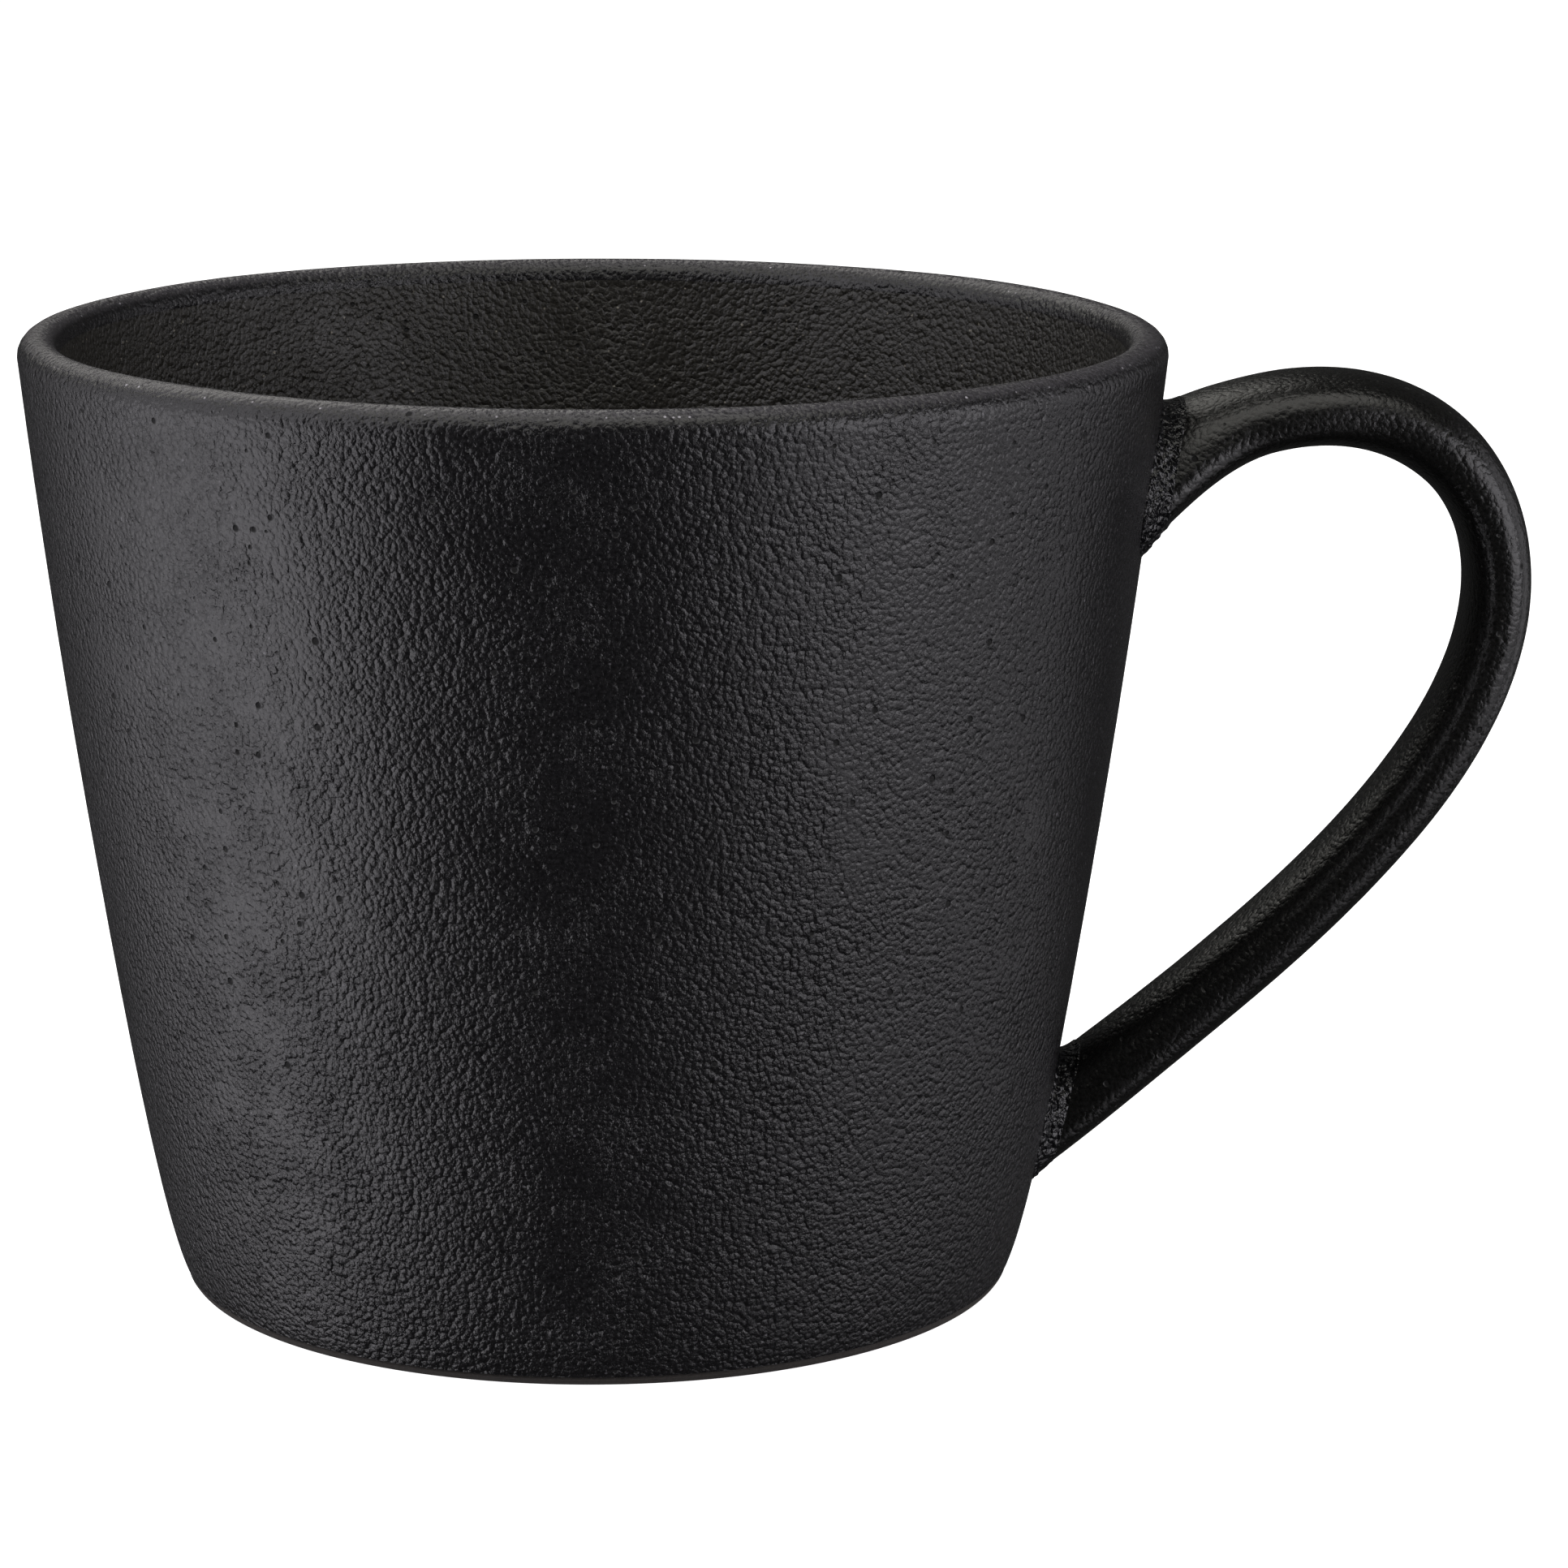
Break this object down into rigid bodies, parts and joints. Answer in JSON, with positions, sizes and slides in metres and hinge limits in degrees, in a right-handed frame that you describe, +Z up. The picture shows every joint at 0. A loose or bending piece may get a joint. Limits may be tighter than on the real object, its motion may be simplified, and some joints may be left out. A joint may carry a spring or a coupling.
{
  "type": "mug",
  "caption": "Flared stoneware mug with a rounded lip, a bare foot ring and a teardrop strap handle; clay, slip joints and glaze coats are separate.",
  "frame": {"origin": "on the resting plane, under the centre of the bounding box, handle included; the cup's own axis stands at X = -0.0162 m", "axes": "+Z up out of the cup's mouth, +X towards the handle, which lies in the XZ plane; +Y completes the right-handed frame"},
  "size_m": [0.1324, 0.1, 0.0845],
  "materials": {
    "clay": "bare fired stoneware, matte and finely gritty",
    "slip": "wrinkled glossy dark slip",
    "glaze": "matte charcoal glaze with a fine pebbled grain, small pits and a faint sparkle",
    "liner_glaze": "satin charcoal liner glaze with a fine speckle"
  },
  "bodies": {
    "root": {"cup_body": "clay", "handle": "clay", "upper_slip_joint": "slip", "lower_slip_joint": "slip", "exterior_glaze": "glaze", "interior_glaze": "liner_glaze", "handle_glaze": "glaze"}
  },
  "joints": []
}
